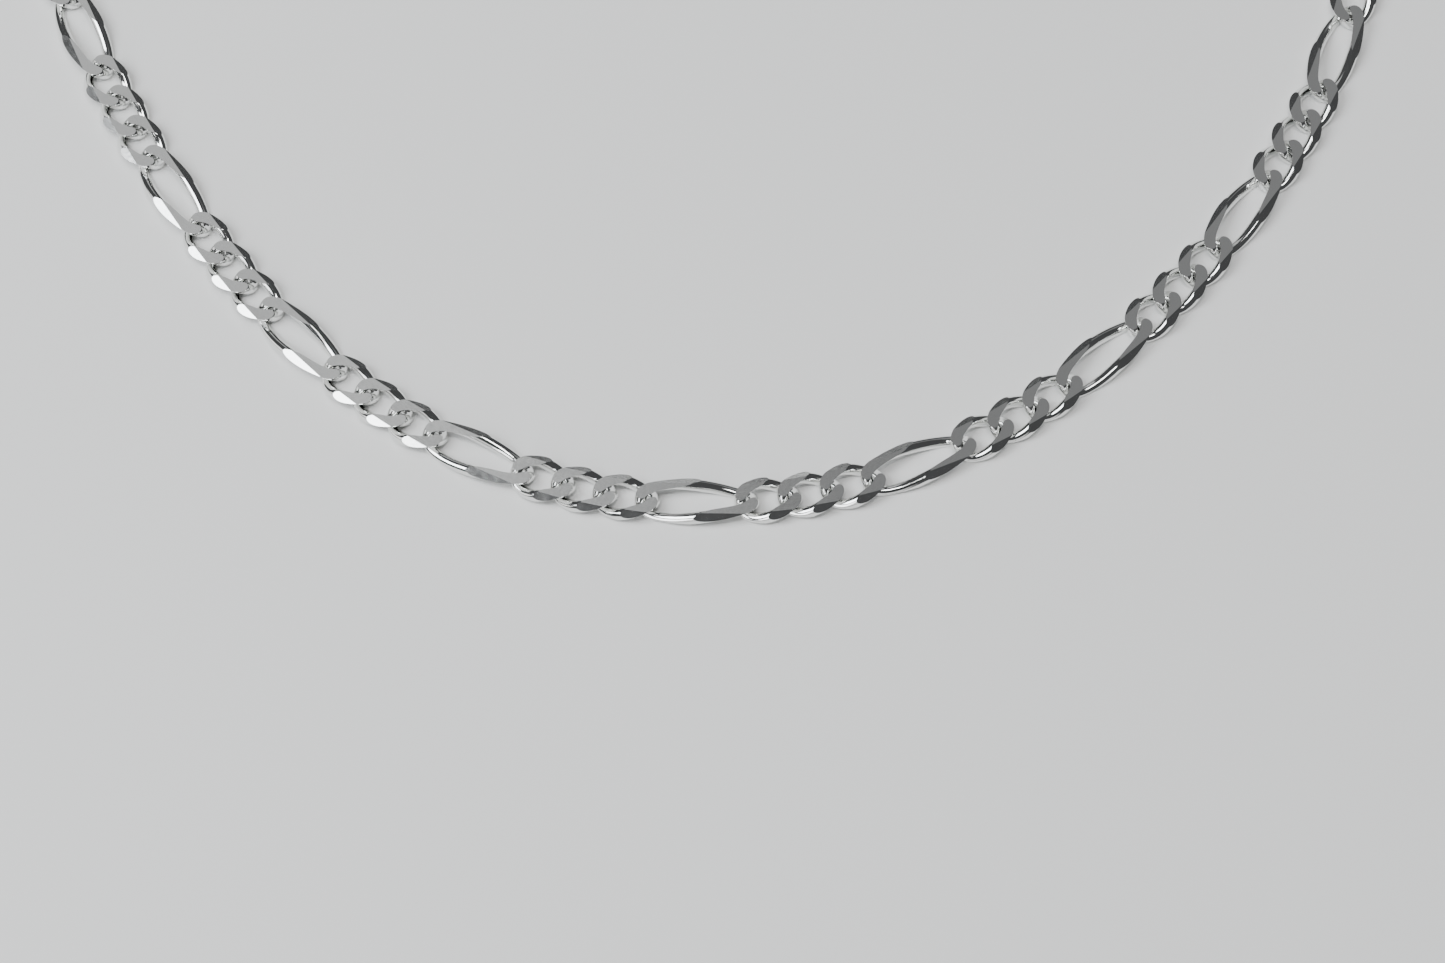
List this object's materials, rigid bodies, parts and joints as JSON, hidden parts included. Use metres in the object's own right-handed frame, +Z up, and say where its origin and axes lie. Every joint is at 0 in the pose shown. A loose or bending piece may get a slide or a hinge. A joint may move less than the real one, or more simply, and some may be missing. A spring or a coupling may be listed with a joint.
{
  "type": "chain necklace",
  "caption": "Flat figaro-pattern chain necklace: twisted, diamond-cut oval links, one long between groups of short ones, with a sprung lobster clasp and a catch ring.",
  "frame": {"origin": "centre of the open necklace's bounding box, on the surface it lies on", "axes": "+Z up from the surface; +Y from the middle long link at the bottom of the curve towards the clasp ends, the longest direction; +X to the clasp side's right"},
  "size_m": [0.155, 0.1766, 0.003],
  "materials": {
    "silver": "polished sterling silver",
    "spring_steel": "drawn spring wire"
  },
  "bodies": {
    "long_link_01": {"long_link_01": "silver"},
    "short_trio_01": {"short_trio_01": "silver"},
    "long_link_02": {"long_link_02": "silver"},
    "short_trio_02": {"short_trio_02": "silver"},
    "long_link_03": {"long_link_03": "silver"},
    "short_trio_03": {"short_trio_03": "silver"},
    "long_link_04": {"long_link_04": "silver"},
    "short_trio_04": {"short_trio_04": "silver"},
    "long_link_05": {"long_link_05": "silver"},
    "short_trio_05": {"short_trio_05": "silver"},
    "long_link_06": {"long_link_06": "silver"},
    "short_link_06a": {"short_link_06a": "silver"},
    "short_link_06b": {"short_link_06b": "silver"},
    "short_link_06c": {"short_link_06c": "silver"},
    "long_link_07": {"long_link_07": "silver"},
    "short_link_07a": {"short_link_07a": "silver"},
    "short_link_07b": {"short_link_07b": "silver"},
    "short_link_07c": {"short_link_07c": "silver"},
    "long_link_08": {"long_link_08": "silver"},
    "short_link_08a": {"short_link_08a": "silver"},
    "short_link_08b": {"short_link_08b": "silver"},
    "short_link_08c": {"short_link_08c": "silver"},
    "long_link_09": {"long_link_09": "silver"},
    "short_link_09a": {"short_link_09a": "silver"},
    "short_link_09b": {"short_link_09b": "silver"},
    "short_link_09c": {"short_link_09c": "silver"},
    "long_link_10": {"long_link_10": "silver"},
    "short_link_10a": {"short_link_10a": "silver"},
    "short_link_10b": {"short_link_10b": "silver"},
    "short_link_10c": {"short_link_10c": "silver"},
    "long_link_11": {"long_link_11": "silver"},
    "short_link_11a": {"short_link_11a": "silver"},
    "short_link_11b": {"short_link_11b": "silver"},
    "short_link_11c": {"short_link_11c": "silver"},
    "long_link_12": {"long_link_12": "silver"},
    "short_link_12a": {"short_link_12a": "silver"},
    "short_link_12b": {"short_link_12b": "silver"},
    "short_link_12c": {"short_link_12c": "silver"},
    "long_link_13": {"long_link_13": "silver"},
    "short_link_13a": {"short_link_13a": "silver"},
    "short_link_13b": {"short_link_13b": "silver"},
    "short_link_13c": {"short_link_13c": "silver"},
    "long_link_14": {"long_link_14": "silver"},
    "short_trio_14": {"short_trio_14": "silver"},
    "long_link_15": {"long_link_15": "silver"},
    "short_trio_15": {"short_trio_15": "silver"},
    "long_link_16": {"long_link_16": "silver"},
    "short_trio_16": {"short_trio_16": "silver"},
    "long_link_17": {"long_link_17": "silver"},
    "short_trio_17": {"short_trio_17": "silver"},
    "long_link_18": {"long_link_18": "silver"},
    "short_trio_18": {"short_trio_18": "silver"},
    "long_link_19": {"long_link_19": "silver"},
    "clasp_ring": {"clasp_jump_ring": "silver"},
    "catch_ring": {"catch_ring": "silver"},
    "clasp": {"lobster_body": "silver", "lever_pin": "silver"},
    "trigger": {"trigger_lever": "silver", "lever_spring": "spring_steel"}
  },
  "joints": [
    {"name": "short_link_10a_swing", "type": "hinge", "parent": "long_link_10", "child": "short_link_10a", "pos_m": [0.00363, -0.08595, 0.00075], "axis": [-0.0776, 0.7028, 0.7071], "range_deg": [-40, 25]},
    {"name": "short_link_10b_swing", "type": "hinge", "parent": "short_link_10a", "child": "short_link_10b", "pos_m": [0.00801, -0.08552, 0.00075], "axis": [0.1341, -0.6943, -0.7071], "range_deg": [-22, 22]},
    {"name": "short_link_10c_swing", "type": "hinge", "parent": "short_link_10b", "child": "short_link_10c", "pos_m": [0.01365, -0.08443, 0.00075], "axis": [0.1341, -0.6943, 0.7071], "range_deg": [-22, 22]},
    {"name": "long_link_11_swing", "type": "hinge", "parent": "short_link_10c", "child": "long_link_11", "pos_m": [0.01788, -0.0832, 0.00075], "axis": [-0.1884, 0.6816, -0.7071], "range_deg": [-40, 40]},
    {"name": "short_link_11a_swing", "type": "hinge", "parent": "long_link_11", "child": "short_link_11a", "pos_m": [0.02597, -0.07984, 0.00075], "axis": [0.3437, -0.618, -0.7071], "range_deg": [-40, 40]},
    {"name": "short_link_11b_swing", "type": "hinge", "parent": "short_link_11a", "child": "short_link_11b", "pos_m": [0.02984, -0.07774, 0.00075], "axis": [-0.3825, 0.5948, 0.7071], "range_deg": [-22, 22]},
    {"name": "short_link_11c_swing", "type": "hinge", "parent": "short_link_11b", "child": "short_link_11c", "pos_m": [0.03468, -0.07463, 0.00075], "axis": [-0.3825, 0.5948, -0.7071], "range_deg": [-22, 22]},
    {"name": "long_link_12_swing", "type": "hinge", "parent": "short_link_11c", "child": "long_link_12", "pos_m": [0.0382, -0.072, 0.00075], "axis": [0.4172, -0.5709, 0.7071], "range_deg": [-40, 40]},
    {"name": "short_link_12a_swing", "type": "hinge", "parent": "long_link_12", "child": "short_link_12a", "pos_m": [0.04478, -0.06622, 0.00075], "axis": [-0.5063, 0.4936, 0.7071], "range_deg": [-40, 40]},
    {"name": "short_link_12b_swing", "type": "hinge", "parent": "short_link_12a", "child": "short_link_12b", "pos_m": [0.04787, -0.06309, 0.00075], "axis": [0.5269, -0.4715, -0.7071], "range_deg": [-22, 22]},
    {"name": "short_link_12c_swing", "type": "hinge", "parent": "short_link_12b", "child": "short_link_12c", "pos_m": [0.05171, -0.05881, 0.00075], "axis": [0.5269, -0.4715, 0.7071], "range_deg": [-22, 22]},
    {"name": "long_link_13_swing", "type": "hinge", "parent": "short_link_12c", "child": "long_link_13", "pos_m": [0.05449, -0.05539, 0.00075], "axis": [-0.5454, 0.45, -0.7071], "range_deg": [-40, 40]},
    {"name": "short_link_13a_swing", "type": "hinge", "parent": "long_link_13", "child": "short_link_13a", "pos_m": [0.05962, -0.04831, 0.00075], "axis": [0.5981, -0.3773, -0.7071], "range_deg": [-40, 40]},
    {"name": "short_link_13b_swing", "type": "hinge", "parent": "short_link_13a", "child": "short_link_13b", "pos_m": [0.06199, -0.0446, 0.00075], "axis": [-0.6135, 0.3516, 0.7071], "range_deg": [-22, 22]},
    {"name": "short_link_13c_swing", "type": "hinge", "parent": "short_link_13b", "child": "short_link_13c", "pos_m": [0.06485, -0.03961, 0.00075], "axis": [-0.6135, 0.3516, -0.7071], "range_deg": [-22, 22]},
    {"name": "long_link_14_swing", "type": "hinge", "parent": "short_link_13c", "child": "long_link_14", "pos_m": [0.06683, -0.03568, 0.00075], "axis": [0.6295, -0.322, 0.7071], "range_deg": [-40, 40]},
    {"name": "short_trio_14_swing", "type": "hinge", "parent": "long_link_14", "child": "short_trio_14", "pos_m": [0.07004, -0.02753, 0.00075], "axis": [-0.6756, 0.2086, 0.7071], "range_deg": [-40, 40]},
    {"name": "long_link_15_swing", "type": "hinge", "parent": "short_trio_14", "child": "long_link_15", "pos_m": [0.07367, -0.01345, 0.00075], "axis": [0.6922, -0.1442, 0.7071], "range_deg": [-40, 40]},
    {"name": "short_trio_15_swing", "type": "hinge", "parent": "long_link_15", "child": "short_trio_15", "pos_m": [0.07479, -0.00477, 0.00075], "axis": [0.7062, -0.0355, -0.7071], "range_deg": [-40, 40]},
    {"name": "long_link_16_swing", "type": "hinge", "parent": "short_trio_15", "child": "long_link_16", "pos_m": [0.07483, 0.00977, 0.00075], "axis": [-0.7064, -0.0311, -0.7071], "range_deg": [-40, 40]},
    {"name": "short_trio_16_swing", "type": "hinge", "parent": "long_link_16", "child": "short_trio_16", "pos_m": [0.07377, 0.01846, 0.00075], "axis": [0.6931, 0.1398, -0.7071], "range_deg": [-40, 40]},
    {"name": "long_link_17_swing", "type": "hinge", "parent": "short_trio_16", "child": "long_link_17", "pos_m": [0.07023, 0.03256, 0.00075], "axis": [-0.6769, -0.2044, -0.7071], "range_deg": [-40, 40]},
    {"name": "short_trio_17_swing", "type": "hinge", "parent": "long_link_17", "child": "short_trio_17", "pos_m": [0.06706, 0.04072, 0.00075], "axis": [-0.6372, -0.3065, 0.7071], "range_deg": [-40, 40]},
    {"name": "long_link_18_swing", "type": "hinge", "parent": "short_trio_17", "child": "long_link_18", "pos_m": [0.06015, 0.05351, 0.00075], "axis": [0.6056, 0.3651, 0.7071], "range_deg": [-40, 40]},
    {"name": "short_trio_18_swing", "type": "hinge", "parent": "long_link_18", "child": "short_trio_18", "pos_m": [0.05506, 0.06063, 0.00075], "axis": [-0.5419, -0.4543, 0.7071], "range_deg": [-40, 40]},
    {"name": "long_link_19_swing", "type": "hinge", "parent": "short_trio_18", "child": "long_link_19", "pos_m": [0.0452, 0.07132, 0.00075], "axis": [0.4968, 0.5032, 0.7071], "range_deg": [-40, 40]},
    {"name": "short_link_09c_swing", "type": "hinge", "parent": "long_link_10", "child": "short_link_09c", "pos_m": [-0.00513, -0.08572, 0.00075], "axis": [0.1152, 0.6977, -0.7071], "range_deg": [-40, 40]},
    {"name": "short_link_09b_swing", "type": "hinge", "parent": "short_link_09c", "child": "short_link_09b", "pos_m": [-0.01081, -0.08478, 0.00075], "axis": [-0.1152, -0.6977, -0.7071], "range_deg": [-22, 22]},
    {"name": "short_link_09a_swing", "type": "hinge", "parent": "short_link_09b", "child": "short_link_09a", "pos_m": [-0.01377, -0.08404, 0.00075], "axis": [-0.227, -0.6697, 0.7071], "range_deg": [-22, 22]},
    {"name": "long_link_09_swing", "type": "hinge", "parent": "short_link_09a", "child": "long_link_09", "pos_m": [-0.01921, -0.08219, 0.00075], "axis": [0.227, 0.6697, 0.7071], "range_deg": [-40, 40]},
    {"name": "short_link_08c_swing", "type": "hinge", "parent": "long_link_09", "child": "short_link_08c", "pos_m": [-0.02708, -0.07834, 0.00075], "axis": [-0.3838, -0.5939, 0.7071], "range_deg": [-40, 40]},
    {"name": "short_link_08b_swing", "type": "hinge", "parent": "short_link_08c", "child": "short_link_08b", "pos_m": [-0.03191, -0.07522, 0.00075], "axis": [0.3838, 0.5939, 0.7071], "range_deg": [-22, 22]},
    {"name": "short_link_08a_swing", "type": "hinge", "parent": "short_link_08b", "child": "short_link_08a", "pos_m": [-0.03436, -0.07339, 0.00075], "axis": [0.4573, 0.5393, -0.7071], "range_deg": [-22, 22]},
    {"name": "long_link_08_swing", "type": "hinge", "parent": "short_link_08a", "child": "long_link_08", "pos_m": [-0.03874, -0.06967, 0.00075], "axis": [-0.4573, -0.5393, -0.7071], "range_deg": [-40, 40]},
    {"name": "short_link_07c_swing", "type": "hinge", "parent": "long_link_08", "child": "short_link_07c", "pos_m": [-0.04486, -0.06341, 0.00075], "axis": [0.5425, 0.4536, -0.7071], "range_deg": [-40, 40]},
    {"name": "short_link_07b_swing", "type": "hinge", "parent": "short_link_07c", "child": "short_link_07b", "pos_m": [-0.04855, -0.059, 0.00075], "axis": [-0.5425, -0.4536, -0.7071], "range_deg": [-22, 22]},
    {"name": "short_link_07a_swing", "type": "hinge", "parent": "short_link_07b", "child": "short_link_07a", "pos_m": [-0.05041, -0.05658, 0.00075], "axis": [-0.5763, -0.4097, 0.7071], "range_deg": [-22, 22]},
    {"name": "long_link_07_swing", "type": "hinge", "parent": "short_link_07a", "child": "long_link_07", "pos_m": [-0.05374, -0.05189, 0.00075], "axis": [0.5763, 0.4097, 0.7071], "range_deg": [-40, 40]},
    {"name": "short_link_06c_swing", "type": "hinge", "parent": "long_link_07", "child": "short_link_06c", "pos_m": [-0.05842, -0.0445, 0.00075], "axis": [-0.6137, -0.3512, 0.7071], "range_deg": [-40, 40]},
    {"name": "short_link_06b_swing", "type": "hinge", "parent": "short_link_06c", "child": "short_link_06b", "pos_m": [-0.06128, -0.03951, 0.00075], "axis": [0.6137, 0.3512, 0.7071], "range_deg": [-22, 22]},
    {"name": "short_link_06a_swing", "type": "hinge", "parent": "short_link_06b", "child": "short_link_06a", "pos_m": [-0.06272, -0.03682, 0.00075], "axis": [0.6317, 0.3178, -0.7071], "range_deg": [-22, 22]},
    {"name": "long_link_06_swing", "type": "hinge", "parent": "short_link_06a", "child": "long_link_06", "pos_m": [-0.06531, -0.03168, 0.00075], "axis": [-0.6317, -0.3178, -0.7071], "range_deg": [-40, 40]},
    {"name": "short_trio_05_swing", "type": "hinge", "parent": "long_link_06", "child": "short_trio_05", "pos_m": [-0.06885, -0.02368, 0.00075], "axis": [0.6673, 0.2338, -0.7071], "range_deg": [-40, 40]},
    {"name": "long_link_05_swing", "type": "hinge", "parent": "short_trio_05", "child": "long_link_05", "pos_m": [-0.07301, -0.00975, 0.00075], "axis": [-0.6864, -0.17, -0.7071], "range_deg": [-40, 40]},
    {"name": "short_trio_04_swing", "type": "hinge", "parent": "long_link_05", "child": "short_trio_04", "pos_m": [-0.07445, -0.00111, 0.00075], "axis": [-0.7044, -0.0619, 0.7071], "range_deg": [-40, 40]},
    {"name": "long_link_04_swing", "type": "hinge", "parent": "short_trio_04", "child": "long_link_04", "pos_m": [-0.07504, 0.01341, 0.00075], "axis": [0.7071, -0.0046, 0.7071], "range_deg": [-40, 40]},
    {"name": "short_trio_03_swing", "type": "hinge", "parent": "long_link_04", "child": "short_trio_03", "pos_m": [-0.0743, 0.02214, 0.00075], "axis": [-0.6979, 0.1138, 0.7071], "range_deg": [-40, 40]},
    {"name": "long_link_03_swing", "type": "hinge", "parent": "short_trio_03", "child": "long_link_03", "pos_m": [-0.07129, 0.03636, 0.00075], "axis": [0.6841, -0.1789, 0.7071], "range_deg": [-40, 40]},
    {"name": "short_trio_02_swing", "type": "hinge", "parent": "long_link_03", "child": "short_trio_02", "pos_m": [-0.06842, 0.04463, 0.00075], "axis": [0.6482, -0.2825, -0.7071], "range_deg": [-40, 40]},
    {"name": "long_link_02_swing", "type": "hinge", "parent": "short_trio_02", "child": "long_link_02", "pos_m": [-0.062, 0.05767, 0.00075], "axis": [-0.6188, 0.3422, -0.7071], "range_deg": [-40, 40]},
    {"name": "short_trio_01_swing", "type": "hinge", "parent": "long_link_02", "child": "short_trio_01", "pos_m": [-0.05718, 0.06498, 0.00075], "axis": [0.5585, -0.4337, -0.7071], "range_deg": [-40, 40]},
    {"name": "long_link_01_swing", "type": "hinge", "parent": "short_trio_01", "child": "long_link_01", "pos_m": [-0.04773, 0.07603, 0.00075], "axis": [-0.5153, 0.4843, -0.7071], "range_deg": [-40, 40]},
    {"name": "clasp_ring_swing", "type": "hinge", "parent": "long_link_19", "child": "clasp_ring", "pos_m": [0.03839, 0.07685, 0.00078], "axis": [-0.6228, -0.7543, 0.2076], "range_deg": [-3, 16]},
    {"name": "catch_ring_swing", "type": "hinge", "parent": "long_link_01", "child": "catch_ring", "pos_m": [-0.04129, 0.08199, 0.00078], "axis": [-0.6587, 0.7231, 0.2079], "range_deg": [-8, 16]},
    {"name": "clasp_swing", "type": "hinge", "parent": "clasp_ring", "child": "clasp", "pos_m": [0.03541, 0.07936, 0.00098], "axis": [-0.6453, -0.764, 0], "range_deg": [-25, 25]},
    {"name": "trigger_turn", "type": "hinge", "parent": "clasp", "child": "trigger", "pos_m": [0.03218, 0.08426, 0.00152], "axis": [0, 0, 1], "range_deg": [0, 20], "stiffness_Nm_per_rad": 0.0005, "springref_deg": -8.59}
  ]
}
